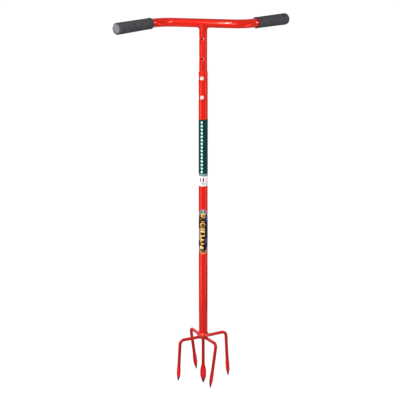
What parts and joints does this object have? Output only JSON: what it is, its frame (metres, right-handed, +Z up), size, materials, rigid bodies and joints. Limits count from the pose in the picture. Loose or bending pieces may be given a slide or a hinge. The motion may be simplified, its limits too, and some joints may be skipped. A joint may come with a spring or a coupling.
{
  "type": "claw cultivator",
  "caption": "Upright twist cultivator: a ring of spear-pointed tines round a centre tine, on a tubular shaft with a bolted height setting and an S-bent handle with soft grips.",
  "frame": {"origin": "point of the centre tine, on the axis of the shaft", "axes": "+Z up along the shaft, +X along the middle of the handle bar, bolt heads on the -Y side"},
  "size_m": [0.4234, 0.3048, 1.0435],
  "materials": {
    "red_paint": "gloss powder coat on steel",
    "grip_rubber": "matt, fine textured soft grip",
    "zinc_steel": "bright zinc plated steel"
  },
  "bodies": {
    "tool": {"handle_bar": "red_paint", "stem_tube": "red_paint", "handle_weld": "red_paint", "left_grip": "grip_rubber", "right_grip": "grip_rubber", "shaft_tube": "red_paint", "left_tine": "red_paint", "right_tine": "red_paint", "front_tine": "red_paint", "back_tine": "red_paint", "centre_tine": "red_paint", "hub_weld": "red_paint", "centre_weld": "red_paint"},
    "upper_bolt": {"upper_bolt": "zinc_steel"},
    "lower_bolt": {"lower_bolt": "zinc_steel"},
    "upper_nut": {"upper_nut": "zinc_steel", "upper_washer": "zinc_steel"},
    "lower_nut": {"lower_nut": "zinc_steel", "lower_washer": "zinc_steel"}
  },
  "joints": [
    {"name": "upper_bolt_draw", "type": "slide", "parent": "tool", "child": "upper_bolt", "axis": [0, -1, 0], "range_m": [0, 0.042]},
    {"name": "lower_bolt_draw", "type": "slide", "parent": "tool", "child": "lower_bolt", "axis": [0, -1, 0], "range_m": [0, 0.042]},
    {"name": "upper_nut_off", "type": "slide", "parent": "tool", "child": "upper_nut", "axis": [0, 1, 0], "range_m": [0, 0.016]},
    {"name": "lower_nut_off", "type": "slide", "parent": "tool", "child": "lower_nut", "axis": [0, 1, 0], "range_m": [0, 0.016]}
  ]
}
